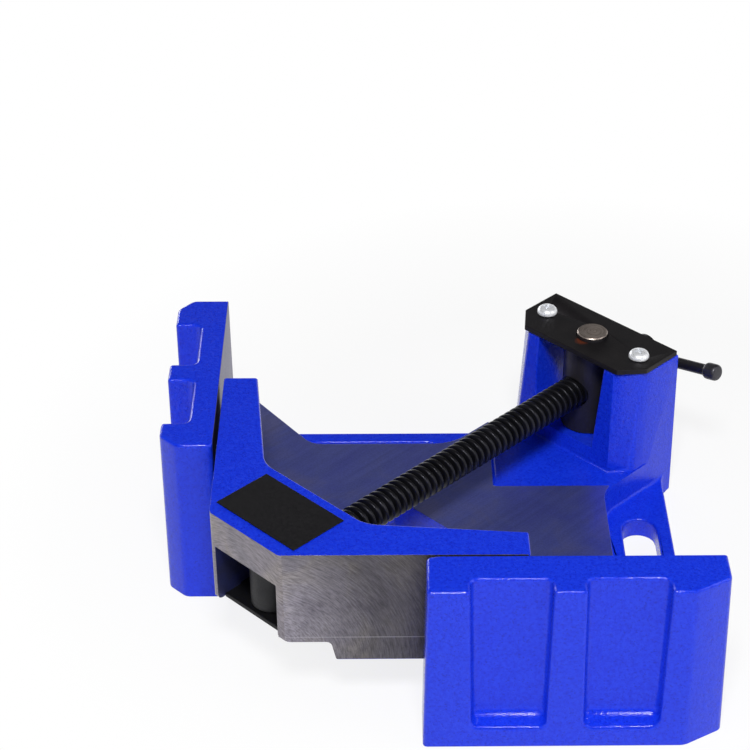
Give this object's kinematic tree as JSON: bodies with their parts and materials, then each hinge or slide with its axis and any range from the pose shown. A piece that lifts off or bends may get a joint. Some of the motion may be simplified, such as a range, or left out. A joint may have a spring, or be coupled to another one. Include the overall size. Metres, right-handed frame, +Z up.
{
  "type": "corner clamp",
  "caption": "Right-angle welding clamp: cast corner with two fixed jaws, a swivelling V-nosed jaw on a lead screw, a post with a swivelling nut, and a sliding bar handle.",
  "frame": {"origin": "on the underside of the base, directly below the axis of the swivelling nut", "axes": "+Z up; the right-hand fixed jaw runs along +X and clamps towards +Y, the left-hand one runs along +Y and clamps towards +X; the screw runs back along the line between them"},
  "size_m": [0.2698, 0.2741, 0.0869],
  "materials": {
    "blue_enamel_iron": "glossy blue enamel over rough cast iron; the clamping faces, the floor and the nose faces are milled bare",
    "black_plate": "black oxide sheet steel",
    "zinc_steel": "bright zinc plate",
    "black_steel": "oiled black oxide",
    "phosphated_steel": "dark phosphated turned steel, bright on the journal end",
    "pin_steel": "ground steel",
    "label": "satin black foil, left blank"
  },
  "bodies": {
    "base": {"base_casting": "blue_enamel_iron", "nut_cover_plate": "black_plate", "cover_screw_left": "zinc_steel", "cover_screw_right": "zinc_steel"},
    "nut": {"swivel_nut": "phosphated_steel"},
    "pivot_block": {"nose_pivot_block": "phosphated_steel", "screw_retaining_pin": "pin_steel"},
    "nose_jaw": {"movable_jaw": "blue_enamel_iron", "nose_bottom_plate": "black_plate", "bottom_plate_screw_left": "zinc_steel", "bottom_plate_screw_right": "zinc_steel", "label_plate": "label"},
    "screw": {"lead_screw": "black_steel"},
    "bar": {"tommy_bar": "black_steel", "bar_knob_left": "black_steel", "bar_knob_right": "black_steel"}
  },
  "joints": [
    {"name": "nut_swivel", "type": "hinge", "parent": "base", "child": "nut", "pos_m": [0, 0, 0.057], "axis": [0, 0, 1], "range_deg": [-0.2, 0.2]},
    {"name": "jaw_travel", "type": "slide", "parent": "nut", "child": "pivot_block", "axis": [0.7071, 0.7071, 0], "range_m": [0, 0.16]},
    {"name": "jaw_swivel", "type": "hinge", "parent": "pivot_block", "child": "nose_jaw", "pos_m": [-0.15177, -0.15177, 0.05563], "axis": [0, 0, 1], "range_deg": [-0.5, 0.5]},
    {"name": "screw_spin", "type": "hinge", "parent": "pivot_block", "child": "screw", "pos_m": [0, 0, 0.05563], "axis": [0.7071, 0.7071, 0], "range_deg": [0, 14400]},
    {"name": "bar_slide", "type": "slide", "parent": "screw", "child": "bar", "axis": [0.6929, -0.6929, 0.1994], "range_m": [-0.034, 0.041]}
  ],
  "couplings": [
    {"joint": "screw_spin", "follows": "jaw_travel", "rad_per_m": 1570.8}
  ]
}
